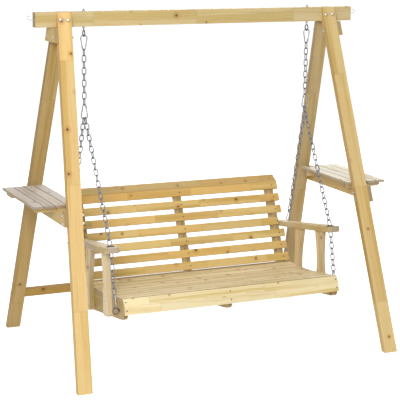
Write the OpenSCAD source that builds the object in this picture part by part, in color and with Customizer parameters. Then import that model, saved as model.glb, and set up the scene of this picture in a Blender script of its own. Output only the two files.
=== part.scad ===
// Free-standing porch swing: a splayed wooden A-frame with two side trays,
// and a slatted two-seat bench that hangs from the beam on steel chains.
// X runs along the beam, -Y is the front, Z is up; the ground is z = 0.

/* [Stand] */
// Height of the beam's top above the ground
stand_h = 1730; // [1500:5:2100]
// Length of the beam past the centre of each leg pair
beam_over = 142.5; // [80:0.5:240]
// Height of the beam's section
beam_h = 72; // [60:1:90]
// Thickness of the beam's section, front to rear
beam_t = 45; // [38:1:60]
// From the bench slats' end out to the centre of a leg pair, at the beam's top
leg_clear = 140; // [115:1:200]
// Outward spread of a foot past its leg's top, along the beam
foot_out = 106; // [40:1:240]
// From the middle to a leg's outer face at the ground, front to rear
foot_y = 600; // [500:1:720]
// From the middle to a leg's outer face at the beam's top, front to rear
leg_top_y = 30; // [29:1:40]
// Width of a leg, along the beam
leg_w = 70; // [60:1:84]
// Thickness of a leg
leg_t = 33; // [28:1:40]
// Height above the ground of the joint between a leg's two pieces
leg_joint_z = 735; // [640:1:739]
// Thickness of the cross-boards
cross_t = 22; // [18:1:26]
// Height of the upper cross-boards
upper_cross_h = 74; // [60:1:90]
// Height of the lower cross-boards
lower_cross_h = 80; // [72:1:96]
// Height of the rear stretcher
stretcher_h = 44; // [36:1:60]
// Thickness of the rear stretcher
stretcher_t = 24; // [18:1:27]
// Height of the rear stretcher's lower edge above the ground
stretcher_z = 182; // [120:1:260]

/* [Side trays] */
// Height of the trays' top
tray_z = 835; // [780:1:900]
// From the legs' centre out to the trays' outer edge
tray_over = 185.4; // [150:0.1:260]
// Gap between the tray slats' ends and the legs
tray_end_gap = 32; // [12:1:90]
// Number of slats in a tray
tray_slats = 4; // [3:1:5]
// Width of a tray slat
tray_slat_w = 51; // [40:1:54]
// Gap between tray slats
tray_gap = 5; // [3:1:8]
// Thickness of a tray slat
tray_slat_t = 12; // [10:1:16]
// Height of the front tray bearers
bearer_h_front = 24; // [20:1:30]
// Height of the rear tray bearers
bearer_h_rear = 36; // [20:1:40]
// Thickness of a tray bearer, front to rear
bearer_t = 20; // [16:1:26]
// From the tray slats' end in to a bearer's centre
bearer_inset = 43; // [20:1:80]

/* [Bench] */
// Height of the seat boards' lower front corner above the ground
bench_z = 291; // [240:1:360]
// From the middle forward to the seat boards' front
bench_front = 461; // [420:1:480]
// Backward tilt of the hanging bench
bench_tilt = 8; // [4:0.5:12]
// Length of the seat and back slats
slat_l = 1170; // [1060:1:1190]
// Thickness of every bench slat
slat_t = 15; // [12:1:18]
// Thickness of the seat boards and back supports
board_t = 22; // [18:1:24]
// Height of the seat's top above the seat boards' lower edge, at the front
seat_top = 105; // [95:1:125]
// Rise of the seat's rear above its front
seat_rise = 26; // [10:1:40]
// Width of a seat slat
seat_slat_w = 58; // [46:1:60]
// Gap between seat slats
seat_gap = 4; // [3:1:8]
// Number of seat slats
seat_slats = 8; // [6:1:8]
// Height of the front apron
apron_h = 41; // [30:1:46]
// Lean of the back against the seat boards' upright
back_lean = 15; // [10:0.5:22]
// Width of a back slat
back_slat_w = 41; // [34:1:44]
// Rise from one back slat to the next
back_pitch = 64; // [58:1:70]
// Depth of the back supports, front to rear
support_d = 66; // [50:1:76]
// Width of the rolled top slat
top_slat_w = 58; // [44:1:62]
// Turn of the rolled top slat, from upright
top_slat_turn = 52; // [35:1:60]

/* [Arms] */
// Height of the arms' top above the seat boards' lower edge
arm_top = 351; // [330:1:370]
// Thickness of an arm
arm_t = 28; // [20:1:32]
// Reach of an arm past the slats' ends, at the front
arm_over = 59; // [48:1:68]
// Thickness of the arm posts
post_t = 23; // [18:1:26]
// Depth of an arm post at its ends
post_d = 74; // [60:1:80]
// Depth of an arm post at its waist
post_waist = 48; // [36:1:60]

/* [Chains and hardware] */
// From the bench slats' end out to the beam's eye bolts
eye_over = 31; // [19:1:40]
// Diameter of the chain's wire
link_wire = 5; // [4:0.5:5.5]
// Outer width of a chain link
link_w = 24; // [22:1:26]
// Pitch of the chain
link_pitch = 30.3; // [28:0.1:33]
// Links in each upper chain, an odd number
upper_links = 9; // [7:2:11]
// Overall length of a snap hook
hook_l = 79; // [72:1:86]
// Radius of a snap hook's wide end, at the middle of its wire
hook_big = 16; // [13:0.5:18]
// Radius of a snap hook's narrow end, at the middle of its wire
hook_small = 7.5; // [7:0.5:9]
// Diameter of the snap hooks' and eyes' wire
hook_wire = 6; // [5:0.5:6.5]
// Outer diameter of an eye's ring
eye_d = 36; // [34:1:40]
// Diameter of the frame's bolts
bolt_d = 8; // [6:1:8]
// Diameter of the bench's bolts
bench_bolt_d = 6; // [5:1:8]
// Running gap between a chain link and what it hangs in
link_fit = 0.3; // [0.2:0.05:0.4]
// Extra room for the front chains' first link, which leans in its hook
lean_room = 0.6; // [0.5:0.05:0.8]
// Free space around a bolt or screw in its hole, on the radius
hole_fit = 0.25; // [0.15:0.05:0.4]
// Free space around a snap hook's rivet in its gate, on the radius
rivet_fit = 0.06; // [0.03:0.01:0.1]

/* [Hidden] */
$fn = 48;
big = 4000;
half_l = slat_l / 2;
eye_x = half_l + eye_over;
arm_out_x = half_l + arm_over;
leg_top_x = half_l + leg_clear;
foot_x = leg_top_x + foot_out;
beam_l = 2 * (leg_top_x + beam_over);
beam_under = stand_h - beam_h;
splay = atan((foot_x - leg_top_x) / stand_h);
lean = atan((foot_y - leg_top_y) * cos(splay) / stand_h);
leg_run = stand_h / cos(splay) / cos(lean);
bolt_z = stand_h - beam_h / 2;
bolt_off = 19.5;
upper_bolt_z = beam_under - 47;
lower_top = tray_z - tray_slat_t;
lower_bolt_z = [lower_top - 28, lower_top - 66];
joint_run = (stand_h - leg_joint_z) / cos(lean) / cos(splay);
tenon_w = 40;
tenon_t = 17;
tenon_l = 88;
tenon_fit = 0.2;
eye_nut_af = 13;
eye_nut_h = 8;
spot_d = 24;
spot_y = beam_t / 2 + 15;
washer_t = 1.6;
washer_d = 16;
head_h = 4.5;
head_dome_r = 9;
head_d = 13;
nut_h = 6.5;
tray_x = leg_top_x + (stand_h - lower_top) * tan(splay) + tray_over;
tray_y = leg_inner_y(tray_z) - tray_end_gap;
bearer_y = tray_y - bearer_inset;
bearer_in = tray_x - tray_slats * tray_slat_w - (tray_slats - 1) * tray_gap + 3;
bearer_out = tray_x - 10;
bearer_fit = 0.2;
screw_d = 3.5;
screw_head_d = 7;
screw_head_h = 2.2;
screw_l = 32;
tray_screw_l = 28;

seat_u0 = 17;
seat_pitch = seat_slat_w + seat_gap;
seat_flat_u = 187;
seat_end_u = seat_u0 + seat_slats * seat_pitch - seat_gap;
apron_top = seat_top - 38;
nose_turn = 26.6;
nose_w = 41;
back_w0 = 158;
back_u0 = 16 + seat_end_u + slat_t;
back_slats = 7;
board_end_u = seat_end_u + 52;
board_r = 32;
short_slat = 3;
short_l = slat_l - 2 * (board_t + 5);
support_x = half_l - board_t - board_t / 2;
end_board_x = half_l - board_t / 2;
mid_board_x = -board_t;
post_x = half_l + post_t / 2;
front_post_u = [194, 176];
rear_post_u = [466, 398];
arm_u0 = 36;
arm_end_u = back_front(arm_top) + support_d + 2;
arm_front_in = half_l - 12;
arm_rear_in = half_l - board_t;
arm_rear_out = half_l + 24;
arm_hole_u = 85;
arm_hole_x = half_l + 19;
arm_hole_d = 32;
plate_d = 43;
plate_t = 2;
front_eye = [half_l + 19, 60, 42];
rear_eye_in = 51;
rear_eye = [arm_rear_out + eye_d / 2 + 3, arm_end_u - rear_eye_in, arm_top - 18];
eye_ring_r = (eye_d - hook_wire) / 2;
shank_d = hook_wire - 0.5;
eye_neck = 16;
hook_end_d = 24;
hook_end_wire = 4.5;

hook_c = hook_l - hook_big - hook_small - hook_wire;
hook_reach = hook_l - 2 * hook_wire - link_fit;
hook_slope = asin((hook_big - hook_small) / hook_c);
gate_from = 0.24;
gate_to = 0.86;
gate_d = 4.6;
rivet_d = 2.2;
cheek_t = 1.4;
cheek_gap = 0.3;
junction_x = 4.2;

// contact points down each hanging chain, in world coordinates, right-hand side
eye_z = beam_under - eye_neck - eye_d / 2;
hang_z = eye_z - eye_ring_r + (hook_wire + link_fit) / 2;
chain_top_z = hang_z - hook_reach;
chain_end_z = chain_top_z - upper_links * link_pitch;
joint_z = chain_end_z - hook_reach;
link_room = hook_big - hook_wire / 2 - link_wire / 2 - link_fit;
joint_lift = link_room - sqrt(pow(link_room, 2) - pow(junction_x, 2));
front_top = [eye_x - junction_x, 0, joint_z + joint_lift + lean_room];
rear_top = [eye_x + junction_x, 0, joint_z + joint_lift];
arm_pass = bench_point([arm_hole_x, arm_hole_u, arm_top + plate_t + 1]);
front_ring = bench_point(front_eye);
rear_ring = bench_point(rear_eye);
ring_grip = eye_ring_r - (hook_wire + link_fit) / 2;
front_pull = unit(arm_pass - front_ring);
rear_pull = unit(rear_top - rear_ring);
front_grip = front_ring + ring_grip * front_pull;
rear_grip = rear_ring + ring_grip * rear_pull;
front_low = front_grip + hook_reach * front_pull;
rear_low = rear_grip + hook_reach * rear_pull;

wood = [0.90, 0.76, 0.50];
wood_light = [0.94, 0.82, 0.58];
steel = [0.62, 0.63, 0.65];

// ---------- helpers ----------
function unit(v) = v / norm(v);
function even_links(a, b) = 2 * round(norm(a - b) / link_pitch / 2);
// a point of the bench's own frame (x, rearward u, upward w) in world coordinates
function bench_point(p) = [p[0],
    -bench_front + p[1] * cos(bench_tilt) + p[2] * sin(bench_tilt),
    bench_z - p[1] * sin(bench_tilt) + p[2] * cos(bench_tilt)];
// height of the seat's top, and its slope, at u
function seat_curve(u) = seat_rise / pow(seat_end_u - seat_flat_u, 2);
function seat_w(u) = seat_top + (u > seat_flat_u ? seat_curve(u) * pow(u - seat_flat_u, 2) : 0);
function seat_slope(u) = u > seat_flat_u ? atan(2 * seat_curve(u) * (u - seat_flat_u)) : 0;
// front face of the back supports at w
function back_front(w) = back_u0 + (w - back_w0) * tan(back_lean);
function seat_slat_u(i) = seat_u0 + seat_slat_w / 2 + i * seat_pitch;
// underside end of seat slat i; s is -1 for its front edge and 1 for its rear edge
function slat_under(i, s) = let (u = seat_slat_u(i), a = seat_slope(u), h = seat_slat_w / 2)
    [u + s * h * cos(a) + slat_t * sin(a), seat_w(u) + s * h * sin(a) - slat_t * cos(a)];

module on_bench() {
    translate([0, -bench_front, bench_z]) rotate([-bench_tilt, 0, 0]) children();
}
// puts children's x, y plane outline into the bench's u, w plane, t thick about x
module across(x, t) {
    translate([x - t / 2, 0, 0]) rotate([90, 0, 90]) linear_extrude(t) children();
}
module on_side(side) {
    mirror([side < 0 ? 1 : 0, 0, 0]) translate([leg_top_x, 0, stand_h])
        rotate([0, -splay, 0]) children();
}
// leg frame: x across the leg, y = 0 its outer face, z down along it from the beam's top
module on_leg(side, end) {
    on_side(side) mirror([0, end > 0 ? 1 : 0, 0]) translate([0, -leg_top_y, 0])
        rotate([-lean, 0, 0]) children();
}
// stands children's z axis on the line from a up to b
module along(a, b) {
    d = unit(b - a);
    translate(a) rotate([-atan2(d[1], d[2]), 0, 0]) rotate([0, asin(d[0]), 0]) children();
}
module mirrored(side) {
    mirror([side < 0 ? 1 : 0, 0, 0]) children();
}
module hex(d, h) {
    cylinder(d = d, h = h, $fn = 6);
}
module ring(r, wire) {
    rotate_extrude() translate([r, 0]) circle(d = wire);
}
module bend(r, wire, from, turn) {
    rotate([90, 0, 0]) rotate([0, 0, from]) rotate_extrude(angle = turn)
        translate([r, 0]) circle(d = wire);
}
// x-direction bolt hole centres of the frame, at height z on a leg's centre line
function run_at(z) = (stand_h - z) / cos(splay);
function leg_mid_y(z) = leg_top_y + run_at(z) * tan(lean) - leg_t / 2 / cos(lean);
function leg_inner_y(z) = leg_mid_y(z) - leg_t / 2 / cos(lean);
module side_bolt_places(zs) {
    for (z = zs, e = [-1, 1])
        translate([0, e * leg_mid_y(z), -run_at(z)]) rotate([0, 90, 0]) children();
}
module beam_bolt_places(side) {
    on_side(side) for (o = [-1, 1])
        translate([o * bolt_off, 0, -run_at(bolt_z)]) rotate([90, 0, 0]) children();
}

// ---------- stand ----------
module beam() {
    color(wood_light) difference() {
        translate([-beam_l / 2, -beam_t / 2, beam_under]) cube([beam_l, beam_t, beam_h]);
        for (s = [-1, 1]) {
            beam_bolt_places(s) cylinder(d = bolt_d + 2 * hole_fit, h = 2 * beam_t, center = true);
            translate([s * eye_x, 0, beam_under - 1])
                cylinder(d = shank_d + 2 * hole_fit, h = beam_h + 2);
            translate([s * beam_l / 2, 0, bolt_z]) rotate([0, 90, 0])
                cylinder(d = hook_end_wire + 2 * hole_fit, h = 80, center = true);
        }
    }
}

module leg_blank(side, end) {
    intersection() {
        on_leg(side, end) translate([-leg_w / 2, 0, -leg_run - 60])
            cube([leg_w, leg_t, leg_run + 120]);
        translate([-big / 2, end > 0 ? beam_t / 2 : -big - beam_t / 2, 0])
            cube([big, big, stand_h]);
    }
}
module leg_tenon(side, end, grow) {
    on_leg(side, end) translate([-tenon_w / 2 - grow, (leg_t - tenon_t) / 2 - grow, -joint_run - 30])
        cube([tenon_w + 2 * grow, tenon_t + 2 * grow, tenon_l + 30 + grow]);
}
module leg(side, end) {
    color(wood) difference() {
        union() {
            difference() {
                leg_blank(side, end);
                on_leg(side, end) translate([-leg_w, -leg_t, -joint_run - big])
                    cube([2 * leg_w, 3 * leg_t, big]);
                leg_tenon(side, end, tenon_fit);
            }
            difference() {
                leg_blank(side, end);
                on_leg(side, end) translate([-leg_w, -leg_t, -joint_run])
                    cube([2 * leg_w, 3 * leg_t, big]);
            }
            intersection() {
                leg_blank(side, end);
                leg_tenon(side, end, 0);
            }
        }
        leg_cuts(side, end);
    }
}
// bolt holes, and flat spot faces under the washers on the sloping outer faces
module leg_cuts(side, end) {
    beam_bolt_places(side) {
        cylinder(d = bolt_d + 2 * hole_fit, h = 4 * leg_t + beam_t, center = true);
        translate([0, 0, end < 0 ? spot_y : -spot_y - 60]) cylinder(d = spot_d, h = 60);
    }
    on_side(side) side_bolt_places(concat([upper_bolt_z], lower_bolt_z))
        cylinder(d = bolt_d + 2 * hole_fit, h = 2 * leg_w, center = true);
    if (end > 0) stretcher_bolt_place(side)
        cylinder(d = bolt_d + 2 * hole_fit, h = 4 * leg_w, center = true);
}

function side_outline(z0, z1) = [
    for (p = [[-1, z0], [1, z0], [1, z1], [-1, z1]])
        [p[0] * (leg_top_y + run_at(p[1]) * tan(lean)), -run_at(p[1])]];
module cross_board(side, z_low, z_high, zs) {
    color(wood) difference() {
        on_side(side) translate([leg_w / 2, 0, 0]) rotate([90, 0, 90])
            linear_extrude(cross_t) polygon(side_outline(z_low, z_high + 6));
        translate([-big / 2, -big / 2, z_high]) cube([big, big, big]);
        on_side(side) side_bolt_places(zs)
            cylinder(d = bolt_d + 2 * hole_fit, h = 4 * leg_w, center = true);
    }
}
module upper_cross_board(side) {
    cross_board(side, beam_under - upper_cross_h, beam_under - 1, [upper_bolt_z]);
}
module lower_cross_board(side) {
    color(wood) difference() {
        cross_board(side, lower_top - lower_cross_h, lower_top, lower_bolt_z);
        for (e = [-1, 1]) mirrored(side) translate([bearer_in, e * bearer_y, lower_top])
            bearer_blank(e, bearer_fit);
    }
}

function leg_inner_x(z) = leg_top_x - leg_w / 2 / cos(splay) + (stand_h - z) * tan(splay);
// world frame at a rear leg's mid thickness, turned to the leg's lean
stretcher_mid = stretcher_z + stretcher_h / 2;
stretcher_y = leg_mid_y(stretcher_mid);
module rear_stretcher() {
    color(wood) difference() {
        intersection() {
            translate([0, stretcher_y, stretcher_mid]) rotate([lean, 0, 0])
                cube([big, stretcher_t, stretcher_h], center = true);
            translate([0, big / 2, 0]) rotate([90, 0, 0]) linear_extrude(big)
                polygon([for (p = [[-1, -1], [1, -1], [1, 1], [-1, 1]])
                    let (z = stretcher_mid + p[1] * stretcher_h) [p[0] * leg_inner_x(z), z]]);
        }
        for (s = [-1, 1]) stretcher_bolt_place(s)
            cylinder(d = bolt_d + 2 * hole_fit, h = 2 * stretcher_bolt_l, center = true);
    }
}
stretcher_bolt_l = leg_w + 60;
module stretcher_bolt_place(side) {
    mirrored(side) translate([leg_inner_x(stretcher_mid) + leg_w / cos(splay), stretcher_y,
        stretcher_mid]) rotate([0, -90, 0]) children();
}

// ---------- trays ----------
function tray_slat_x(i) = tray_x - tray_slat_w / 2 - i * (tray_slat_w + tray_gap);
module tray_slat_group(side) {
    color(wood_light) difference() {
        for (i = [0 : tray_slats - 1])
            translate([side * tray_slat_x(i) - tray_slat_w / 2, -tray_y, lower_top])
                cube([tray_slat_w, 2 * tray_y, tray_slat_t]);
        tray_screw_places(side) screw(tray_screw_l, hole_fit);
    }
}
module tray_screw_places(side) {
    for (i = [0 : tray_slats - 1], e = [-1, 1])
        translate([side * tray_slat_x(i), e * bearer_y, tray_z]) children();
}
module bearer_blank(end, grow) {
    h = end < 0 ? bearer_h_front : bearer_h_rear;
    l = bearer_out - bearer_in;
    r = h - 4;
    translate([-grow, bearer_t / 2 + grow, 0]) rotate([90, 0, 0])
        linear_extrude(bearer_t + 2 * grow) difference() {
            translate([0, -h - grow]) square([l + grow, h + grow]);
            translate([l - r + grow, -h - grow]) difference() {
                translate([0, -1]) square([r + 1, r + 1]);
                translate([0, r]) circle(r = r);
            }
        }
}
module tray_bearers(side) {
    color(wood) difference() {
        for (e = [-1, 1]) mirrored(side) translate([bearer_in, e * bearer_y, lower_top])
            bearer_blank(e, 0);
        tray_screw_places(side) screw(tray_screw_l, hole_fit);
    }
}

// countersunk screw, its head's top at z = 0, pointing down
module screw(l, grow) {
    translate([0, 0, -l - grow]) cylinder(d = screw_d + 2 * grow, h = l + grow);
    translate([0, 0, -screw_head_h - grow])
        cylinder(d = screw_head_d + 2 * grow, h = screw_head_h + grow + (grow > 0 ? 1 : 0));
}

// ---------- frame hardware ----------
module beam_end_hooks() {
    color(steel) for (s = [-1, 1]) mirrored(s) translate([beam_l / 2, 0, bolt_z]) {
        translate([-34, 0, 0]) rotate([0, 90, 0]) cylinder(d = hook_end_wire, h = 34 + 24);
        translate([0.05, 0, 0]) rotate([0, 90, 0]) cylinder(d = 10, h = 2);
        translate([24, 0, (hook_end_d - hook_end_wire) / 2 - 0]) mirror([0, 0, 0])
            bend((hook_end_d - hook_end_wire) / 2, hook_end_wire, -90, 225);
    }
}
module beam_eye_bolts() {
    shank_l = eye_neck + hook_wire / 2 + beam_h + 14;
    color(steel) for (s = [-1, 1]) translate([s * eye_x, 0, eye_z]) {
        rotate([90, 0, 90]) ring(eye_ring_r, hook_wire);
        translate([0, 0, eye_ring_r]) cylinder(d = shank_d, h = shank_l);
        translate([0, 0, eye_d / 2 + eye_neck - washer_t - 0.05]) cylinder(d = washer_d, h = washer_t);
    }
}
module frame_bolts() {
    color(steel) {
        for (s = [-1, 1]) {
            beam_bolt_places(s) translate([0, 0, -spot_y - washer_t - nut_h - 4]) {
                cylinder(d = bolt_d, h = 2 * spot_y + 2 * washer_t + nut_h + 4);
                translate([0, 0, 2 * spot_y + 2 * washer_t + nut_h + 4]) dome_head();
            }
            on_side(s) side_bolt_places(concat([upper_bolt_z], lower_bolt_z))
                translate([0, 0, -leg_w / 2 - nut_h - washer_t - 4]) {
                    cylinder(d = bolt_d, h = leg_w + cross_t + nut_h + 2 * washer_t + 4);
                    translate([0, 0, leg_w + cross_t + nut_h + 2 * washer_t + 4]) dome_head();
                }
            stretcher_bolt_place(s) translate([0, 0, -4]) {
                cylinder(d = bolt_d, h = stretcher_bolt_l);
                translate([0, 0, -head_h]) cylinder(d = head_d, h = head_h, $fn = 6);
            }
        }
    }
}
module dome_head() {
    intersection() {
        cylinder(d = head_d, h = head_h);
        translate([0, 0, head_h - head_dome_r]) sphere(r = head_dome_r);
    }
}
module washer(d) {
    difference() {
        cylinder(d = washer_d, h = washer_t);
        translate([0, 0, -1]) cylinder(d = d + 2 * hole_fit, h = washer_t + 2);
    }
}
module nut(af, d, h) {
    difference() {
        hex(af / cos(30), h);
        translate([0, 0, -1]) cylinder(d = d + 0.1, h = h + 2);
    }
}
module frame_washers() {
    color(steel) for (s = [-1, 1]) {
        beam_bolt_places(s) for (z = [-spot_y - washer_t, spot_y]) translate([0, 0, z]) washer(bolt_d);
        on_side(s) side_bolt_places(concat([upper_bolt_z], lower_bolt_z)) {
            translate([0, 0, -leg_w / 2 - washer_t]) washer(bolt_d);
            translate([0, 0, leg_w / 2 + cross_t]) washer(bolt_d);
        }
        translate([s * eye_x, 0, stand_h]) washer(shank_d);
    }
}
module frame_nuts() {
    color(steel) for (s = [-1, 1]) {
        beam_bolt_places(s) translate([0, 0, -spot_y - washer_t - nut_h]) nut(13, bolt_d, nut_h);
        on_side(s) side_bolt_places(concat([upper_bolt_z], lower_bolt_z))
            translate([0, 0, -leg_w / 2 - washer_t - nut_h]) nut(13, bolt_d, nut_h);
        translate([s * eye_x, 0, stand_h + washer_t]) nut(eye_nut_af, shank_d, eye_nut_h);
        translate([s * eye_x, 0, beam_under - washer_t - eye_nut_h - 0.05])
            nut(eye_nut_af, shank_d, eye_nut_h);
    }
}
module tray_screws() {
    color(steel) for (s = [-1, 1]) tray_screw_places(s) screw(tray_screw_l, 0);
}

// ---------- chains and snap hooks ----------
module link(pitch, wire, width) {
    r = (width - wire) / 2;
    half = (pitch + link_fit + wire) / 2 - r;
    for (s = [0, 1]) mirror([0, 0, s]) translate([0, 0, half]) bend(r, wire, 0, 180);
    for (s = [-1, 1]) translate([s * r, 0, -half]) cylinder(d = wire, h = 2 * half);
}
// n links from the upper contact point a down to b; the first stands across X
module chain(a, b, n) {
    pitch = norm(a - b) / n;
    along(b, a) for (i = [0 : n - 1])
        translate([0, 0, (n - i - 0.5) * pitch]) rotate([0, 0, i % 2 == 0 ? 90 : 0])
            link(pitch, link_wire, link_w);
}
module upper_chain(side) {
    color(steel) mirrored(side)
        chain([eye_x, 0, chain_top_z], [eye_x, 0, chain_end_z], upper_links);
}
module front_chain(side) {
    color(steel) mirrored(side) {
        chain(front_top, arm_pass, even_links(front_top, arm_pass));
        chain(arm_pass, front_low, even_links(arm_pass, front_low));
    }
}
module rear_chain(side) {
    color(steel) mirrored(side)
        chain(rear_top, rear_low, even_links(rear_top, rear_low));
}

// Snap hook in the x, z plane: z = 0 is its narrow end's contact point and
// z = hook_reach its wide end's; the gate closes the +x side.
hook_n = hook_small - (hook_wire + link_fit) / 2;
hook_w = hook_n + hook_c;
function gate_point(t) = [
    (hook_small + t * (hook_big - hook_small)) * cos(hook_slope),
    hook_n + t * hook_c - (hook_small + t * (hook_big - hook_small)) * sin(hook_slope)];
gate_a = gate_point(gate_from);
gate_b = gate_point(gate_to);
gate_len = norm(gate_b - gate_a);
side_turn = atan2(gate_b[0] - gate_a[0], gate_b[1] - gate_a[1]);
module rod(p, q, d) {
    v = q - p;
    translate([p[0], 0, p[1]]) rotate([0, atan2(v[0], v[1]), 0]) cylinder(d = d, h = norm(v));
}
module on_gate() {
    translate([gate_a[0], 0, gate_a[1]]) rotate([0, side_turn, 0]) children();
}
module snap_hook() {
    p0 = gate_point(0);
    p1 = gate_point(1);
    translate([0, 0, hook_n]) bend(hook_small, hook_wire, 180 + hook_slope, 180 - 2 * hook_slope);
    translate([0, 0, hook_w]) bend(hook_big, hook_wire, -hook_slope, 180 + 2 * hook_slope);
    e = unit(p1 - p0) * 0.6;
    f = [-e[0], e[1]];
    side_wire = hook_wire - 0.1;
    rod([-p0[0], p0[1]] - f, [-p1[0], p1[1]] + f, side_wire);
    rod(p0 - e, gate_point(gate_from - 0.1), side_wire);
    rod(gate_b, p1 + e, side_wire);
    on_gate() {
        for (s = [-1, 1]) translate([0, s * (gate_d / 2 + cheek_gap + cheek_t / 2), 0]) {
            rotate([90, 0, 0]) cylinder(d = 6, h = cheek_t, center = true);
            translate([-2.5, -cheek_t / 2, -hook_c * 0.1 - 2]) cube([5, cheek_t, hook_c * 0.1 + 2]);
        }
        rotate([90, 0, 0]) cylinder(d = rivet_d, h = gate_d + 2 * cheek_gap + 2, center = true);
    }
}
module gate() {
    on_gate() difference() {
        union() {
            cylinder(d = gate_d, h = gate_len - link_fit);
            rotate([90, 0, 0]) cylinder(d = gate_d, h = gate_d, center = true);
        }
        rotate([90, 0, 0]) cylinder(d = rivet_d + 2 * rivet_fit, h = 2 * gate_d, center = true);
    }
}
// where each hook hangs; the wide end is up only on the upper pair
module at_upper(side) {
    translate([side * eye_x, 0, chain_top_z]) rotate([0, 0, side < 0 ? 180 : 0]) children();
}
module at_joint(side) {
    translate([side * eye_x, 0, chain_end_z]) rotate([0, 180, side < 0 ? 180 : 0]) children();
}
function on_hand(p, side) = [side * p[0], p[1], p[2]];
module at_front(side) {
    along(on_hand(front_grip, side), on_hand(front_low, side)) translate([0, 0, hook_reach])
        rotate([180, 0, 90]) children();
}
module at_rear(side) {
    along(on_hand(rear_grip, side), on_hand(rear_low, side)) translate([0, 0, hook_reach])
        rotate([180, 0, 90]) children();
}

// ---------- bench ----------
function board_outline() = concat(
    [for (a = [270 : -15 : 180]) [board_r + board_r * cos(a), board_r + board_r * sin(a)]],
    [[0, apron_top], slat_under(0, -1) + [0, 0]],
    [for (i = [0 : seat_slats - 1], s = [-1, 1]) slat_under(i, s)],
    [[board_end_u, slat_under(seat_slats - 1, 1)[1] - 8], [board_end_u, 30], [board_end_u - 30, 0]]);
module seat_board(x) {
    color(wood) on_bench() difference() {
        across(x, board_t) polygon(board_outline());
        nose_slat_cut();
        bench_holes();
    }
}
// the nose slat leans back over the apron; its outer face starts at the apron's top edge
module nose_place() {
    translate([0, -slat_t, apron_top]) rotate([-nose_turn, 0, 0]) children();
}
module nose_slat_cut() {
    nose_place() translate([-big / 2, -big, -60]) cube([big, big + slat_t, 200]);
}

last_slat_w = back_w0 + (back_slats - 1) * back_pitch;
function support_outline() = let (
    run = support_d / cos(back_lean),
    w_low = 4,
    w_top = last_slat_w + back_slat_w / 2 * cos(back_lean))
    [[back_front(w_low), w_low], [back_front(w_top), w_top],
     top_place(slat_t, top_bevel), top_place(slat_t, top_slat_w - 6),
     [back_front(w_top) + run - 4, w_top + 6], [back_front(w_top) + run, w_top - 20],
     [back_front(w_low) + run, w_low]];
// a point of the rolled top slat's section: d behind its face, h up along it
function top_place(d, h) = let (
    w0 = last_slat_w + back_slat_w / 2 * cos(back_lean) + slat_t * sin(back_lean) + 0.8,
    u0 = back_front(last_slat_w) + back_slat_w / 2 * sin(back_lean) - slat_t * cos(back_lean))
    [u0 + h * sin(top_slat_turn) + d * cos(top_slat_turn),
     w0 + h * cos(top_slat_turn) - d * sin(top_slat_turn)];
// the top slat's lower edge is bevelled to lie along the next slat's edge
top_bevel = slat_t * tan(top_slat_turn - back_lean);
module back_support(x) {
    color(wood) on_bench() difference() {
        across(x, board_t) polygon(support_outline());
        bench_holes();
    }
}

module seat_slat_group() {
    color(wood_light) on_bench() difference() {
        for (i = [0 : seat_slats - 1]) let (u = seat_slat_u(i))
            translate([0, u, seat_w(u)]) rotate([seat_slope(u), 0, 0])
                translate([-half_l, -seat_slat_w / 2, -slat_t]) cube([slat_l, seat_slat_w, slat_t]);
        slat_screw_places() screw(screw_l, hole_fit);
        post_notches();
    }
}
// the seat slats beside the arm posts end flush with the posts' inner faces
module post_notches() {
    for (s = [-1, 1]) mirrored(s) translate([half_l - 0.1, 0, -10]) cube([100, board_end_u, 300]);
}
module front_apron() {
    color(wood_light) on_bench() difference() {
        union() {
            translate([-half_l, -slat_t, apron_top - apron_h]) cube([slat_l, slat_t, apron_h]);
            difference() {
                nose_place() translate([-half_l, 0, 0.3]) cube([slat_l, slat_t, nose_w]);
                translate([-big / 2, -big / 2, apron_top - apron_h - 1])
                    cube([big, big, apron_h + 1.2]);
            }
        }
        slat_screw_places() screw(screw_l, hole_fit);
    }
}
module back_slat_group() {
    color(wood_light) on_bench() difference() {
        union() {
            for (i = [0 : back_slats - 1]) let (w = back_w0 + i * back_pitch,
                l = i == short_slat ? short_l : slat_l)
                translate([0, back_front(w), w]) rotate([-back_lean, 0, 0])
                    translate([-l / 2, -slat_t, -back_slat_w / 2]) cube([l, slat_t, back_slat_w]);
            across(0, slat_l) polygon([top_place(0, 0), top_place(slat_t, top_bevel),
                top_place(slat_t, top_slat_w), top_place(0, top_slat_w)]);
        }
        slat_screw_places() screw(screw_l, hole_fit);
    }
}
board_xs = [-end_board_x, mid_board_x, end_board_x];
support_xs = [-support_x, 0, support_x];
// every slat screw, its head at the slat's face, pointing into the wood behind it
module slat_screw_places() {
    for (x = board_xs) {
        for (i = [0 : seat_slats - 1]) let (u = seat_slat_u(i))
            translate([x, u, seat_w(u)]) rotate([seat_slope(u), 0, 0]) children();
        translate([x, -slat_t, apron_top - apron_h / 2]) rotate([90, 0, 0]) children();
        nose_place() translate([x, 0, nose_w * 0.55]) rotate([90, 0, 0]) children();
    }
    for (x = support_xs) {
        for (i = [0 : back_slats - 1]) let (w = back_w0 + i * back_pitch)
            translate([x, back_front(w), w]) rotate([-back_lean, 0, 0])
                translate([0, -slat_t, 0]) rotate([90, 0, 0]) children();
        translate([x, top_place(0, top_slat_w / 2)[0], top_place(0, top_slat_w / 2)[1]])
            rotate([90 - top_slat_turn, 0, 0]) children();
    }
}
module bench_screws() {
    color(steel) on_bench() slat_screw_places() screw(screw_l, 0);
}

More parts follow.
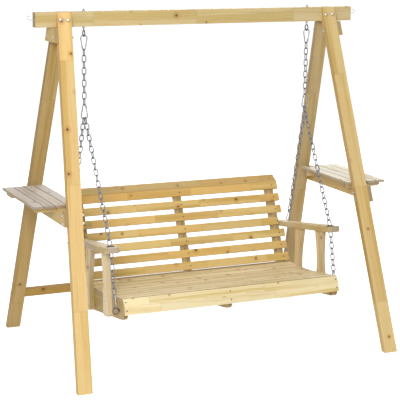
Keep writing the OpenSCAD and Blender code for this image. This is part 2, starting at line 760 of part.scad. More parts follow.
// ---------- arms ----------
module arm(side) {
    color(wood) on_bench() mirrored(side) difference() {
        translate([0, 0, arm_top - arm_t]) linear_extrude(arm_t) difference() {
            polygon(arm_outline());
            translate([arm_hole_x, arm_hole_u]) circle(d = arm_hole_d);
        }
        bench_holes();
    }
}
function arm_outline() = let (r = 22, c = [arm_out_x - r, arm_u0 + r + 8]) concat(
    [[arm_rear_in, arm_end_u], [arm_front_in, arm_u0 + 10], [arm_front_in + 6, arm_u0 + 2],
     [arm_front_in + 18, arm_u0]],
    [for (a = [-80 : 16 : 0]) c + r * [cos(a), sin(a)]],
    [[arm_out_x, 190], [arm_rear_out + 6, 430], [arm_rear_out, arm_end_u - rear_eye_in - 13],
     [arm_rear_out, arm_end_u]]);
// wavy edge of a post: half its depth at height share t
function post_half(t) = post_waist / 2 + (post_d - post_waist) / 2 * pow(cos(180 * (t - 0.04)), 2);
module post(us) {
    steps = 18;
    h = arm_top - arm_t;
    mid = [for (i = [0 : steps]) let (t = i / steps) [us[0] + (us[1] - us[0]) * t, t * h, post_half(t)]];
    r = 14;
    across(post_x, post_t) intersection() {
        polygon(concat([for (p = mid) [p[0] - p[2], p[1]]],
            [for (i = [steps : -1 : 0]) [mid[i][0] + mid[i][2], mid[i][1]]]));
        union() {
            translate([us[0] - 100, r]) square([200, h]);
            translate([us[0] - post_half(0) + r, 0]) square([2 * post_half(0) - 2 * r, h]);
            for (s = [-1, 1]) translate([us[0] + s * (post_half(0) - r), r]) circle(r = r);
        }
    }
}
module arm_posts(side) {
    color(wood) on_bench() mirrored(side) difference() {
        union() {
            post(front_post_u);
            post(rear_post_u);
        }
        bench_holes();
    }
}
module arm_plates() {
    color([0.25, 0.24, 0.24]) on_bench() for (s = [-1, 1]) mirrored(s)
        translate([arm_hole_x, arm_hole_u, arm_top]) difference() {
            cylinder(d = plate_d, h = plate_t);
            translate([0, 0, -1]) cylinder(d = arm_hole_d, h = plate_t + 2);
        }
}

// ---------- bench hardware ----------
// [u, w, first x, last x] of each bolt through posts, boards and supports
post_bolts = [for (us = [front_post_u, rear_post_u], w = [28, 70])
    [us[0] + (us[1] - us[0]) * w / arm_top, w]];
frame_bolt_uw = [[back_front(35) + 26, 35], [back_front(80) + 24, 80]];
module bench_bolt_places() {
    for (s = [-1, 1]) mirrored(s) {
        for (b = post_bolts) translate([half_l - board_t, b[0], b[1]]) rotate([0, 90, 0])
            children(0);
        for (b = frame_bolt_uw) translate([half_l - 2 * board_t, b[0], b[1]]) rotate([0, 90, 0])
            children(1);
    }
    for (b = frame_bolt_uw) translate([mid_board_x - board_t / 2, b[0], b[1]]) rotate([0, 90, 0])
        children(1);
}
module eye_hole(p, from_x) {
    for (s = [-1, 1]) mirrored(s) translate([from_x, p[1], p[2]]) rotate([0, 90, 0])
        cylinder(d = shank_d + 2 * hole_fit, h = 200);
}
module bench_holes() {
    bench_bolt_places() {
        translate([0, 0, -200]) cylinder(d = bench_bolt_d + 2 * hole_fit, h = 260);
        translate([0, 0, -20]) cylinder(d = bench_bolt_d + 2 * hole_fit, h = 90);
    }
    eye_hole(front_eye, half_l - 2 * board_t);
    eye_hole(rear_eye, half_l - 3 * board_t);
    slat_screw_places() screw(screw_l, hole_fit);
}
module bench_bolt(grip) {
    translate([0, 0, -9]) cylinder(d = bench_bolt_d, h = grip + 9);
    translate([0, 0, grip + 0.05]) intersection() {
        cylinder(d = 14, h = 3.5);
        translate([0, 0, 3.5 - 9]) sphere(r = 9);
    }
}
module bench_bolts() {
    color(steel) on_bench() bench_bolt_places() {
        bench_bolt(board_t + post_t);
        bench_bolt(2 * board_t);
    }
}
module bench_nut() {
    translate([0, 0, -5]) nut(10, bench_bolt_d, 5);
}
module bench_nuts() {
    color(steel) on_bench() {
        bench_bolt_places() {
            bench_nut();
            bench_nut();
        }
        for (s = [-1, 1]) mirrored(s) {
            translate([half_l - board_t, front_eye[1], front_eye[2]]) rotate([0, 90, 0])
                translate([0, 0, -5]) nut(10, shank_d, 5);
            translate([half_l - 2 * board_t, rear_eye[1], rear_eye[2]]) rotate([0, 90, 0])
                translate([0, 0, -5]) nut(10, shank_d, 5);
        }
    }
}
// an eye bolt whose shank runs inward along x; the ring holds the pull's direction
module bench_eye(p, ring_p, pull, face_x, back_x) {
    translate(ring_p) rotate([-atan2(pull[1], pull[2]), 0, 0]) rotate([90, 0, 0])
        ring(eye_ring_r, hook_wire);
    on_bench() {
        translate([back_x - 8, p[1], p[2]]) rotate([0, 90, 0])
            cylinder(d = shank_d, h = p[0] - eye_ring_r - back_x + 8);
        translate([face_x + 0.05, p[1], p[2]]) rotate([0, 90, 0])
            cylinder(d = 13, h = 1.2);
    }
}
module bench_eye_bolts() {
    color(steel) for (s = [-1, 1]) mirrored(s) {
        bench_eye(front_eye, front_ring, front_pull, half_l, half_l - board_t);
        bench_eye(rear_eye, rear_ring, rear_pull, arm_rear_out, half_l - 2 * board_t);
    }
}

beam();
leg(-1, -1);  // leg_front_left
leg(1, -1);  // leg_front_right
leg(-1, 1);  // leg_rear_left
leg(1, 1);  // leg_rear_right
upper_cross_board(-1);  // upper_cross_board_left
upper_cross_board(1);  // upper_cross_board_right
lower_cross_board(-1);  // lower_cross_board_left
lower_cross_board(1);  // lower_cross_board_right
rear_stretcher();
tray_slat_group(-1);  // tray_slats_left
tray_slat_group(1);  // tray_slats_right
tray_bearers(-1);  // tray_bearers_left
tray_bearers(1);  // tray_bearers_right
beam_end_hooks();
beam_eye_bolts();
frame_bolts();
frame_washers();
frame_nuts();
tray_screws();
color(steel) at_upper(-1) snap_hook();  // upper_snap_hook_left
color(steel) at_upper(1) snap_hook();  // upper_snap_hook_right
upper_chain(-1);  // upper_chain_left
upper_chain(1);  // upper_chain_right
color(steel) at_joint(-1) snap_hook();  // joint_snap_hook_left
color(steel) at_joint(1) snap_hook();  // joint_snap_hook_right
front_chain(-1);  // front_chain_left
front_chain(1);  // front_chain_right
rear_chain(-1);  // rear_chain_left
rear_chain(1);  // rear_chain_right
color(steel) at_front(-1) snap_hook();  // front_snap_hook_left
color(steel) at_front(1) snap_hook();  // front_snap_hook_right
color(steel) at_rear(-1) snap_hook();  // rear_snap_hook_left
color(steel) at_rear(1) snap_hook();  // rear_snap_hook_right
seat_board(-end_board_x);  // seat_board_left
seat_board(mid_board_x);  // seat_board_middle
seat_board(end_board_x);  // seat_board_right
back_support(-support_x);  // back_support_left
back_support(0);  // back_support_middle
back_support(support_x);  // back_support_right
seat_slat_group();  // seat_slats
front_apron();
back_slat_group();  // back_slats
arm(-1);  // arm_left
arm(1);  // arm_right
arm_posts(-1);  // arm_posts_left
arm_posts(1);  // arm_posts_right
arm_plates();
bench_eye_bolts();
bench_bolts();
bench_nuts();
bench_screws();
color(steel) at_upper(-1) gate();  // upper_gate_left
color(steel) at_upper(1) gate();  // upper_gate_right
color(steel) at_joint(-1) gate();  // joint_gate_left
color(steel) at_joint(1) gate();  // joint_gate_right
color(steel) at_front(-1) gate();  // front_gate_left
color(steel) at_front(1) gate();  // front_gate_right
color(steel) at_rear(-1) gate();  // rear_gate_left
color(steel) at_rear(1) gate();  // rear_gate_right
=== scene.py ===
import math
import bpy
from mathutils import Matrix, Vector


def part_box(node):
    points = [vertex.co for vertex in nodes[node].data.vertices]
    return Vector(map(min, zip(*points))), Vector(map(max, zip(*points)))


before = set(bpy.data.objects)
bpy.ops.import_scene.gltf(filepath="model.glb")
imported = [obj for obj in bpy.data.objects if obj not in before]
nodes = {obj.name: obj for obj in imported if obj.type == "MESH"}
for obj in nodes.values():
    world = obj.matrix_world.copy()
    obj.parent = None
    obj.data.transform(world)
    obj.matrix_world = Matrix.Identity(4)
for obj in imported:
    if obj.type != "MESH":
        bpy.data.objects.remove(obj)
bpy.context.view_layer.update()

scene = bpy.context.scene
scene.view_settings.view_transform = "Standard"
scene.cycles.max_bounces = 8


def sin(a):
    return math.sin(math.radians(a))


def cos(a):
    return math.cos(math.radians(a))


# ---------- camera ----------
CAMERA_AT = Vector((-2.8394, -6.3310, 2.1737))
CAMERA_YAW, CAMERA_PITCH, CAMERA_ROLL = -24.26, -11.61, 0.55
CAMERA_LENS = 122.98
CAMERA_SENSOR = 36.0


def make_camera():
    forward = Vector((-sin(CAMERA_YAW) * cos(CAMERA_PITCH), cos(CAMERA_YAW) * cos(CAMERA_PITCH),
                      sin(CAMERA_PITCH)))
    level = Vector((cos(CAMERA_YAW), sin(CAMERA_YAW), 0))
    upright = level.cross(forward)
    right = level * cos(CAMERA_ROLL) + upright * sin(CAMERA_ROLL)
    up = upright * cos(CAMERA_ROLL) - level * sin(CAMERA_ROLL)
    cam = bpy.data.objects.new("camera", bpy.data.cameras.new("camera"))
    scene.collection.objects.link(cam)
    cam.data.sensor_width = CAMERA_SENSOR
    cam.data.lens = CAMERA_LENS
    cam.data.clip_start, cam.data.clip_end = 0.1, 100
    pose = Matrix((right, up, -forward)).transposed().to_4x4()
    pose.translation = CAMERA_AT
    cam.matrix_world = pose
    scene.camera = cam


# ---------- shader node helpers ----------
class Graph:
    """A short way to lay out one material's nodes."""

    def __init__(self, tree):
        self.t = tree

    def node(self, kind, **props):
        n = self.t.nodes.new(kind)
        for k, v in props.items():
            setattr(n, k, v)
        return n

    def put(self, sock, v):
        if hasattr(v, "is_output"):
            self.t.links.new(v, sock)
        else:
            sock.default_value = v

    def math(self, op, a, b=0.0, c=0.0, clamp=False):
        n = self.node("ShaderNodeMath", operation=op, use_clamp=clamp)
        self.put(n.inputs[0], a)
        self.put(n.inputs[1], b)
        self.put(n.inputs[2], c)
        return n.outputs[0]

    def add(self, a, b, clamp=False):
        return self.math("ADD", a, b, clamp=clamp)

    def sub(self, a, b):
        return self.math("SUBTRACT", a, b)

    def mul(self, a, b):
        return self.math("MULTIPLY", a, b)

    def div(self, a, b):
        return self.math("DIVIDE", a, b)

    def vmath(self, op, a, b=(0, 0, 0)):
        n = self.node("ShaderNodeVectorMath", operation=op)
        self.put(n.inputs[0], a)
        self.put(n.inputs[1], b)
        return n.outputs["Value"] if op in ("LENGTH", "DOT_PRODUCT", "DISTANCE") else n.outputs[0]

    def vec(self, x, y, z):
        n = self.node("ShaderNodeCombineXYZ")
        for i, v in enumerate((x, y, z)):
            self.put(n.inputs[i], v)
        return n.outputs[0]

    def split(self, v):
        n = self.node("ShaderNodeSeparateXYZ")
        self.put(n.inputs[0], v)
        return n.outputs

    def noise(self, v, scale, detail=2.0, rough=0.5):
        n = self.node("ShaderNodeTexNoise")
        self.put(n.inputs["Vector"], v)
        n.inputs["Scale"].default_value = scale
        n.inputs["Detail"].default_value = detail
        n.inputs["Roughness"].default_value = rough
        return n.outputs["Fac"]

    def white(self, v):
        n = self.node("ShaderNodeTexWhiteNoise", noise_dimensions="3D")
        self.put(n.inputs["Vector"], v)
        return n.outputs

    def step(self, v, lo, hi, out_lo=0.0, out_hi=1.0):
        n = self.node("ShaderNodeMapRange", interpolation_type="SMOOTHSTEP")
        for i, x in enumerate((v, lo, hi, out_lo, out_hi)):
            self.put(n.inputs[i], x)
        return n.outputs[0]

    def mix(self, f, a, b):
        n = self.node("ShaderNodeMix", data_type="RGBA", blend_type="MIX")
        self.put(n.inputs["Factor"], f)
        self.put(n.inputs[6], a)
        self.put(n.inputs[7], b)
        return n.outputs[2]

    def tint(self, f, a, b):
        n = self.node("ShaderNodeMix", data_type="RGBA", blend_type="MULTIPLY")
        self.put(n.inputs["Factor"], f)
        self.put(n.inputs[6], a)
        self.put(n.inputs[7], b)
        return n.outputs[2]


def new_material(name):
    m = bpy.data.materials.new(name)
    m.use_nodes = True
    for n in list(m.node_tree.nodes):
        m.node_tree.nodes.remove(n)
    g = Graph(m.node_tree)
    out = g.node("ShaderNodeOutputMaterial")
    b = g.node("ShaderNodeBsdfPrincipled")
    m.node_tree.links.new(b.outputs[0], out.inputs[0])
    return m, g, b


def grey(g, v):
    return g.vec(v, v, v)


# ---------- timber ----------
PALE = (0.86, 0.71, 0.42, 1)
HONEY = (0.76, 0.53, 0.235, 1)
ORANGE = (0.74, 0.45, 0.16, 1)
WHITEWOOD = (0.88, 0.80, 0.62, 1)
TRAY_DARK = (0.74, 0.60, 0.36, 1)
LEG_LIGHT = (0.83, 0.65, 0.31, 1)
SEAT_LIGHT = (0.88, 0.75, 0.48, 1)
APRON_LIGHT = (0.88, 0.74, 0.45, 1)
STREAK = (0.84, 0.79, 0.58, 1)
KNOT_HALO = (0.50, 0.245, 0.075, 1)
KNOT_CORE = (0.085, 0.038, 0.016, 1)
GLUE_LINE = (0.30, 0.17, 0.07, 1)
END_LIGHT = (0.50, 0.38, 0.23, 1)
END_DARK = (0.31, 0.21, 0.12, 1)

FINGER_PITCH = 0.0045       # half the pitch of the finger joint's zigzag, metres
FINGER_SLOPE = 2.2
KNOTS_ALONG = 5.2           # cells that may hold a knot, per metre
KNOTS_ACROSS = 19.0
RING_PITCH = 0.0052
END_RING_PITCH = 0.0034


def board_axes(g, at, rot):
    """Place along the grain, across it and through the board, and how far a face
    is a sawn end or a side."""
    tc = g.node("ShaderNodeTexCoord")
    place = g.node("ShaderNodeMapping", vector_type="TEXTURE")
    place.inputs["Location"].default_value = at
    place.inputs["Rotation"].default_value = rot
    g.put(place.inputs["Vector"], tc.outputs["Object"])
    turn = g.node("ShaderNodeMapping", vector_type="TEXTURE")
    turn.inputs["Rotation"].default_value = rot
    g.put(turn.inputs["Vector"], tc.outputs["Normal"])
    facing = g.split(turn.outputs[0])
    end = g.step(g.math("ABSOLUTE", facing[0]), 0.55, 0.9)
    side = g.step(g.math("ABSOLUTE", facing[1]), 0.4, 0.8)
    return (*g.split(place.outputs[0]), end, side)


def finger_joints(g, l, a, board, start, piece, seed):
    """The row number, a random value for each row, three for each piece of timber
    in the row, and the zigzag seams between pieces."""
    row = g.math("FLOOR", g.div(g.sub(a, start), board))
    row_rnd = g.split(g.white(g.vec(row, seed, 3.7))["Color"])
    zig = g.math("PINGPONG", a, FINGER_PITCH)
    lz = g.add(g.add(l, g.mul(zig, FINGER_SLOPE)), g.mul(row_rnd[0], piece))
    cut = g.div(lz, piece)
    part = g.math("FRACT", cut)
    piece_rnd = g.split(g.white(g.vec(g.math("FLOOR", cut), row, seed + 11.3))["Color"])
    seam = g.math("MINIMUM", part, g.sub(1.0, part))
    seam = g.step(g.mul(seam, piece), 0.0003, 0.0011, 1.0, 0.0)
    return row, row_rnd[1], piece_rnd, seam


def knot_marks(g, l, a, row, seed, amount, side):
    """Dark cores and their halos. A knot is a branch through the board's thickness,
    so the board's sides show none."""
    kn = g.node("ShaderNodeTexVoronoi", voronoi_dimensions="2D", feature="F1")
    kp = g.vec(g.mul(l, KNOTS_ALONG), g.mul(a, KNOTS_ACROSS), 0.0)
    kp = g.vmath("ADD", kp, g.vec(g.mul(row, 7.31), seed * 1.7, 0.0))
    g.put(kn.inputs["Vector"], kp)
    kn.inputs["Scale"].default_value = 1.0
    gap = g.split(g.vmath("SUBTRACT", kp, kn.outputs["Position"]))
    away = g.vmath("LENGTH", g.vec(g.div(gap[0], KNOTS_ALONG), g.div(gap[1], KNOTS_ACROSS), 0.0))
    rnd = g.split(kn.outputs["Color"])
    has = g.mul(g.math("LESS_THAN", rnd[0], amount), g.sub(1.0, side))
    away = g.div(away, g.add(0.0030, g.mul(rnd[1], 0.0048)))
    core = g.mul(g.step(away, 0.55, 1.1, 1.0, 0.0), has)
    halo = g.mul(g.step(away, 0.8, 3.6, 1.0, 0.0), has)
    return core, halo


def growth_rings(g, l, a, d, rnd, halo):
    """Distance from a pith line to one side of each piece, pushed aside by knots,
    and the rings about it."""
    slow = g.vec(g.mul(l, 1.3), g.mul(a, 5.0), g.add(d, g.mul(rnd[0], 9.0)))
    slow = g.noise(slow, 1.6, 2.0)
    wobble = g.noise(g.vec(g.mul(l, 4.0), g.add(a, g.mul(rnd[1], 5.0)), d), 3.0, 2.0)
    push = g.add(g.mul(g.sub(slow, 0.5), 0.07), g.mul(g.sub(wobble, 0.5), 0.012))
    push = g.add(push, g.mul(halo, 0.006))
    pa = g.add(g.add(a, g.mul(g.sub(rnd[1], 0.5), 0.09)), push)
    pd = g.add(g.add(d, g.mul(rnd[2], 0.05)), 0.02)
    rad = g.vmath("LENGTH", g.vec(pa, pd, 0.0))
    ring = g.math("FRACT", g.div(rad, RING_PITCH))
    ring = g.mul(g.step(ring, 0.25, 0.86), g.step(ring, 0.88, 1.0, 1.0, 0.0))
    return rad, ring


def timber(name, along, across, at=(0, 0, 0), board=1.0, start=-0.5, piece=0.42, seed=0.0,
           light=PALE, dark=HONEY, warmth=0.4, knots=0.5, stain=(1, 1, 1), edge=0.8):
    """Planed softwood. along is the grain, across is the way the boards lie side by side,
    board is their pitch from start, piece is the length between finger joints.
    stain multiplies the colour with the board's own tone, and on some boards with painted shade too, and
    edge paints shade on the faces that look along across."""
    x = Vector(along).normalized()
    y = Vector(across)
    y = (y - x * y.dot(x)).normalized()
    rot = Matrix((x, y, x.cross(y))).transposed().to_euler("XYZ")
    m, g, b = new_material(name)
    l, a, d, end, side = board_axes(g, at, rot)
    row, row_warm, rnd, seam = finger_joints(g, l, a, board, start, piece, seed)
    core, halo = knot_marks(g, l, a, row, seed, knots, side)
    rad, ring = growth_rings(g, l, a, d, rnd, halo)
    # fine fibres, soft blotches, and heartwood along the piece in broad streaks
    fibre = g.vec(g.mul(l, 9.0), g.mul(g.add(a, rnd[0]), 420.0), g.mul(d, 420.0))
    fibre = g.noise(fibre, 1.0, 3.0, 0.6)
    blot = g.vec(g.mul(l, 3.0), g.mul(a, 14.0), g.add(g.mul(d, 14.0), rnd[2]))
    blot = g.noise(blot, 1.0, 3.0, 0.55)
    lane = g.vec(g.mul(l, 0.8), g.mul(g.add(a, rnd[0]), 26.0), g.mul(d, 26.0))
    streak = g.step(g.noise(lane, 1.0, 2.0), 0.48, 0.66)
    tone = g.add(g.mul(ring, 0.42), g.mul(g.step(blot, 0.3, 0.75), 0.34))
    tone = g.add(tone, g.mul(g.sub(fibre, 0.5), 0.35), clamp=True)
    # some rows and some pieces are warmer, and pieces differ a little in lightness
    heat = g.mul(g.step(rnd[1], 0.25, 1.0), warmth)
    heat = g.add(heat, g.mul(g.step(row_warm, 0.4, 1.0), warmth * 0.6), clamp=True)
    hot = g.tint(1.0, ORANGE, g.mix(tone, (1.2, 1.2, 1.2, 1), (0.85, 0.82, 0.8, 1)))
    col = g.tint(streak, g.mix(tone, light, dark), STREAK)
    col = g.mix(heat, col, hot)
    col = g.tint(1.0, col, grey(g, g.add(0.93, g.mul(rnd[0], 0.13))))
    col = g.mix(g.mul(halo, 0.55), col, KNOT_HALO)
    col = g.mix(g.mul(core, 0.9), col, KNOT_CORE)
    col = g.mix(g.mul(seam, 0.55), col, GLUE_LINE)
    # sawn ends show end grain
    end_ring = g.math("FRACT", g.div(rad, END_RING_PITCH))
    col = g.mix(g.mul(end, 0.8), col, g.mix(g.step(end_ring, 0.2, 0.9), END_LIGHT, END_DARK))
    # painted shade: the faces that look along across, between boards laid side by side and on the sides of
    # single boards, are darkened
    shade = g.mix(side, (1, 1, 1, 1), (edge, edge * 0.96, edge * 0.90, 1))
    # the stain multiplier holds each board's own tone, and on the rear legs and rear stretcher painted
    # shade too
    g.put(b.inputs["Base Color"], g.tint(1.0, g.tint(1.0, col, (*stain, 1)), shade))
    rough = g.add(0.46, g.mul(fibre, 0.22))
    g.put(b.inputs["Roughness"], g.add(rough, g.mul(end, 0.15)))
    b.inputs["Specular IOR Level"].default_value = 0.35
    height = g.add(g.mul(fibre, 0.5), g.mul(ring, 0.6))
    height = g.sub(height, seam)
    bump = g.node("ShaderNodeBump")
    bump.inputs["Strength"].default_value = 0.25
    bump.inputs["Distance"].default_value = 0.0006
    g.put(bump.inputs["Height"], height)
    g.put(b.inputs["Normal"], bump.outputs[0])
    return m


# ---------- steel ----------
def metal(name, base, stain, rough, scale, metallic=1.0, amount=0.8):
    """Zinc or paint on steel, mottled between base and stain in cells of 1/scale metres."""
    m, g, b = new_material(name)
    tc = g.node("ShaderNodeTexCoord")
    p = tc.outputs["Object"]
    cell = g.node("ShaderNodeTexVoronoi", voronoi_dimensions="3D", feature="F1")
    g.put(cell.inputs["Vector"], p)
    cell.inputs["Scale"].default_value = scale
    spangle = g.split(cell.outputs["Color"])
    n = g.noise(p, scale * 0.35, 4.0, 0.6)
    fine = g.noise(p, scale * 6.0, 2.0, 0.5)
    f = g.add(g.mul(spangle[0], 0.35), g.mul(g.step(n, 0.35, 0.75), 0.65))
    g.put(b.inputs["Base Color"], g.mix(g.mul(f, amount), base, stain))
    b.inputs["Metallic"].default_value = metallic
    r = g.add(rough, g.mul(g.sub(n, 0.5), 0.3))
    g.put(b.inputs["Roughness"], g.add(r, g.mul(fine, 0.1), clamp=True))
    bump = g.node("ShaderNodeBump")
    bump.inputs["Strength"].default_value = 0.3
    bump.inputs["Distance"].default_value = 0.0003
    g.put(bump.inputs["Height"], g.add(fine, spangle[1]))
    g.put(b.inputs["Normal"], bump.outputs[0])
    return m


def dress(name, material):
    o = nodes[name]
    o.data.materials.clear()
    o.data.materials.append(material)


# ---------- materials on the frame ----------
# the bench's own axes: it leans back by TILT, and its back by LEAN more
TILT = 8.0
LEAN = 15.0
REAR = Vector((0, cos(TILT), -sin(TILT)))
UP = Vector((0, sin(TILT), cos(TILT)))
BACK_UP = REAR * sin(LEAN) + UP * cos(LEAN)
SEAT = Vector((0, -0.461, 0.291))       # the lower front edge of the seat boards
ARM_RISE = 0.34
SEAT_PITCH = 0.062
BACK_PITCH = 0.0663
TRAY_PITCH = 0.056
HALF_TRAY_GAP = 0.0025

# each leg runs from its top, by these steps outwards and forwards or backwards, to the floor
LEG_TOP_X, LEG_TOP_Y = 0.725, 0.014
LEG_OUT, LEG_SPREAD = 0.106, 0.57
SIDE_SPLAY = 3.5
BEAM_MIDDLE_Z = 1.694
STRETCHER_AT = (0, 0.51, 0.204)


# a multiplier of each board's colour: its own tone, and on the rear legs and the rear stretcher also
# painted shade
TONE_AND_SHADE = {
    "beam": (0.82, 0.84, 0.80),
    "leg_front_left": (0.98, 0.90, 0.80),
    "leg_front_right": (0.90, 0.85, 0.68),
    "leg_rear_left": (0.58, 0.52, 0.38),
    "leg_rear_right": (0.71, 0.69, 0.62),
    "upper_cross_board_left": (0.80, 0.78, 0.62),
    "upper_cross_board_right": (0.87, 0.86, 0.68),
    "lower_cross_board_left": (0.78, 0.76, 0.62),
    "lower_cross_board_right": (0.80, 0.78, 0.65),
    "rear_stretcher": (0.52, 0.43, 0.20),
    "tray_slats_left": (0.76, 0.78, 0.96),
    "tray_slats_right": (1.0, 1.06, 1.22),
    "tray_bearers_left": (0.76, 0.74, 0.62),
    "tray_bearers_right": (0.76, 0.76, 0.78),
    "seat_board_left": (0.68, 0.65, 0.52),
    "seat_board_middle": (0.72, 0.68, 0.54),
    "seat_board_right": (0.72, 0.68, 0.54),
    "seat_slats": (1.0, 1.03, 1.10),
    "front_apron": (1.06, 1.10, 1.12),
    "back_slats": (0.87, 0.81, 0.58),
    "back_support_left": (0.80, 0.76, 0.62),
    "back_support_middle": (0.80, 0.76, 0.62),
    "back_support_right": (0.80, 0.76, 0.62),
    "arm_left": (0.93, 1.0, 1.22),
    "arm_right": (0.92, 0.98, 1.15),
    "arm_posts_left": (1.0, 1.10, 1.35),
    "arm_posts_right": (0.90, 0.96, 1.14),
}


def board_node(name, along, across, **looks):
    dress(name, timber(name, along, across, stain=TONE_AND_SHADE[name], **looks))


def dress_timber():
    board_node("beam", (1, 0, 0), (0, 0, 1), at=(0, 0, BEAM_MIDDLE_Z), piece=0.55, seed=1.0,
               warmth=0.22, knots=0.4)
    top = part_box("beam")[1].z
    for s, sn in ((-1, "left"), (1, "right")):
        for e, en in ((-1, "front"), (1, "rear")):
            name = "leg_%s_%s" % (en, sn)
            down = Vector((s * LEG_OUT, e * LEG_SPREAD, -top)).normalized()
            warm = name == "leg_front_left"
            board_node(name, down, (1, 0, 0), at=(s * LEG_TOP_X, e * LEG_TOP_Y, top), piece=0.6,
                       seed=20.0 + 3 * s + e, warmth=0.42 if warm else 0.2, knots=0.26,
                       light=LEG_LIGHT if warm else PALE)
        side = Vector((s * sin(SIDE_SPLAY), 0, -cos(SIDE_SPLAY)))
        for part in ("upper", "lower"):
            name = "%s_cross_board_%s" % (part, sn)
            lo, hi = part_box(name)
            board_node(name, (0, 1, 0), side, at=(lo + hi) / 2, piece=0.9, seed=31.0 + s, warmth=0.25)
        lo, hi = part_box("tray_slats_%s" % sn)
        outer = hi.x if s > 0 else lo.x
        board_node("tray_slats_%s" % sn, (0, 1, 0), (-s, 0, 0), at=(outer, 0, hi.z),
                   board=TRAY_PITCH, start=-HALF_TRAY_GAP, piece=0.8, seed=41.0 + s,
                   light=WHITEWOOD, dark=TRAY_DARK, warmth=0.12, knots=0.35, edge=0.6)
        board_node("tray_bearers_%s" % sn, (1, 0, 0), (0, 0, 1), piece=2.0, seed=51.0 + s, warmth=0.3)
        board_node("seat_board_%s" % sn, REAR, UP, at=SEAT, piece=2.0, seed=61.0 + s, warmth=0.2)
        board_node("back_support_%s" % sn, BACK_UP, REAR, at=SEAT, piece=2.0, seed=65.0 + s, warmth=0.2)
        board_node("arm_%s" % sn, REAR, (1, 0, 0), at=SEAT + UP * ARM_RISE, piece=2.0, seed=71.0 + s,
                   warmth=0.35)
        board_node("arm_posts_%s" % sn, UP, REAR, at=SEAT, board=0.5, start=0.32, piece=2.0, seed=75.0 + s,
                   warmth=0.25)
    board_node("rear_stretcher", (1, 0, 0), (0, 0, 1), at=STRETCHER_AT, piece=0.6, seed=81.0, warmth=0.3)
    board_node("seat_board_middle", REAR, UP, at=SEAT, piece=2.0, seed=83.0, warmth=0.2)
    board_node("back_support_middle", BACK_UP, REAR, at=SEAT, piece=2.0, seed=85.0, warmth=0.2)
    board_node("seat_slats", (1, 0, 0), REAR, at=SEAT, board=SEAT_PITCH, start=0.015, piece=0.52, seed=91.0,
               warmth=0.12, light=SEAT_LIGHT, knots=0.45, edge=0.5)
    board_node("front_apron", (1, 0, 0), UP, at=SEAT, board=0.2, start=0.067, piece=0.62, seed=93.0,
               warmth=0.12, light=APRON_LIGHT, knots=0.45)
    board_node("back_slats", (1, 0, 0), BACK_UP, at=SEAT, board=BACK_PITCH, start=0.2565, piece=0.36,
               seed=97.0, warmth=0.42, knots=0.62, edge=0.6)


def dress_steel():
    chain = metal("galvanised_chain", (0.27, 0.265, 0.28, 1), (0.12, 0.12, 0.13, 1), 0.36, 420.0)
    hook = metal("zinc_hooks", (0.36, 0.355, 0.36, 1), (0.17, 0.17, 0.175, 1), 0.28, 380.0, amount=0.7)
    eye = metal("dull_eyes", (0.17, 0.16, 0.16, 1), (0.07, 0.066, 0.065, 1), 0.38, 380.0, amount=0.7)
    bolt = metal("zinc_fasteners", (0.66, 0.65, 0.62, 1), (0.36, 0.34, 0.31, 1), 0.30, 500.0, amount=0.7)
    screw = metal("dark_screws", (0.16, 0.12, 0.09, 1), (0.06, 0.045, 0.035, 1), 0.42, 700.0, metallic=0.8)
    plate = metal("dark_plates", (0.07, 0.065, 0.06, 1), (0.025, 0.024, 0.024, 1), 0.45, 500.0,
                  metallic=0.7)
    # the first word that a node's name holds gives its finish
    finishes = (("chain", chain), ("eye_bolts", eye), ("snap_hook", hook), ("gate", hook),
                ("end_hooks", bolt), ("bolts", bolt), ("washers", bolt), ("nuts", bolt),
                ("screws", screw), ("plates", plate))
    for name in nodes:
        for word, finish in finishes:
            if word in name:
                dress(name, finish)
                break


# ---------- studio ----------
KEY_POWER = 240         # watts
TOP_POWER = 40
BACK_POWER = 90
LAMP_SIZE = 2.4
SKY_LOW = 0.20
SKY_HIGH = 0.48
FLOOR_GLOW = 0.68       # lifts the floor to white in the camera's and reflections' rays only
FLOOR_REACH = 30.0
FLOOR_Z = -0.001


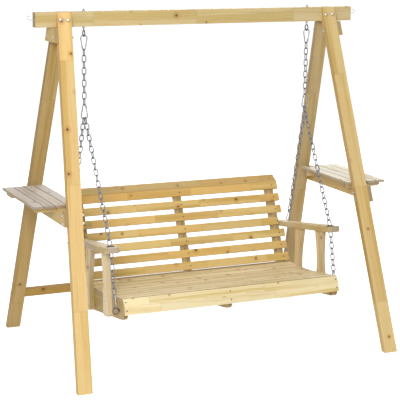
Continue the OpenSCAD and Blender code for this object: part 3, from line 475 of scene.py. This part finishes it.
def make_floor():
    r, z = FLOOR_REACH, FLOOR_Z
    mesh = bpy.data.meshes.new("floor")
    mesh.from_pydata([(-r, -r, z), (r, -r, z), (r, r, z), (-r, r, z)], [], [(0, 1, 2, 3)])
    floor = bpy.data.objects.new("floor", mesh)
    scene.collection.objects.link(floor)
    m, g, b = new_material("floor")
    b.inputs["Base Color"].default_value = (0.86, 0.86, 0.86, 1)
    b.inputs["Roughness"].default_value = 0.9
    b.inputs["Specular IOR Level"].default_value = 0.1
    b.inputs["Emission Color"].default_value = (1, 1, 1, 1)
    path = g.node("ShaderNodeLightPath")
    seen = g.math("MAXIMUM", path.outputs["Is Camera Ray"], path.outputs["Is Glossy Ray"])
    g.put(b.inputs["Emission Strength"], g.mul(seen, FLOOR_GLOW))
    mesh.materials.append(m)


def make_world():
    """White where it is seen or reflected, and a soft sky where it lights."""
    world = bpy.data.worlds.new("studio")
    scene.world = world
    world.use_nodes = True
    tree = world.node_tree
    for n in list(tree.nodes):
        tree.nodes.remove(n)
    g = Graph(tree)
    out = g.node("ShaderNodeOutputWorld")
    path = g.node("ShaderNodeLightPath")
    seen = g.node("ShaderNodeBackground")
    seen.inputs["Color"].default_value = (1, 1, 1, 1)
    seen.inputs["Strength"].default_value = 1.0
    sky = g.node("ShaderNodeBackground")
    height = g.split(g.node("ShaderNodeTexCoord").outputs["Generated"])[2]
    g.put(sky.inputs["Color"], grey(g, g.step(height, -0.2, 0.9, SKY_LOW, SKY_HIGH)))
    sky.inputs["Strength"].default_value = 1.0
    mixer = g.node("ShaderNodeMixShader")
    direct = g.math("MAXIMUM", path.outputs["Is Camera Ray"], path.outputs["Is Glossy Ray"])
    g.put(mixer.inputs[0], g.math("MAXIMUM", direct, path.outputs["Is Transmission Ray"]))
    g.put(mixer.inputs[1], sky.outputs[0])
    g.put(mixer.inputs[2], seen.outputs[0])
    g.put(out.inputs[0], mixer.outputs[0])


def lamp(name, place, target, power):
    d = bpy.data.lights.new(name, "AREA")
    d.energy = power
    d.shape = "DISK"
    d.size = LAMP_SIZE
    o = bpy.data.objects.new(name, d)
    o.location = place
    o.rotation_mode = "QUATERNION"
    o.rotation_quaternion = (Vector(target) - Vector(place)).to_track_quat("-Z", "Y")
    scene.collection.objects.link(o)


def make_lamps():
    lamp("key", (-3.4, -5.0, 3.4), (0, 0, 0.9), KEY_POWER)
    lamp("top", (0.6, 0.2, 5.0), (0, 0, 0.6), TOP_POWER)
    lamp("back", (2.6, 5.2, 2.8), (0, 0, 0.9), BACK_POWER)


make_camera()
dress_timber()
dress_steel()
make_floor()
make_world()
make_lamps()
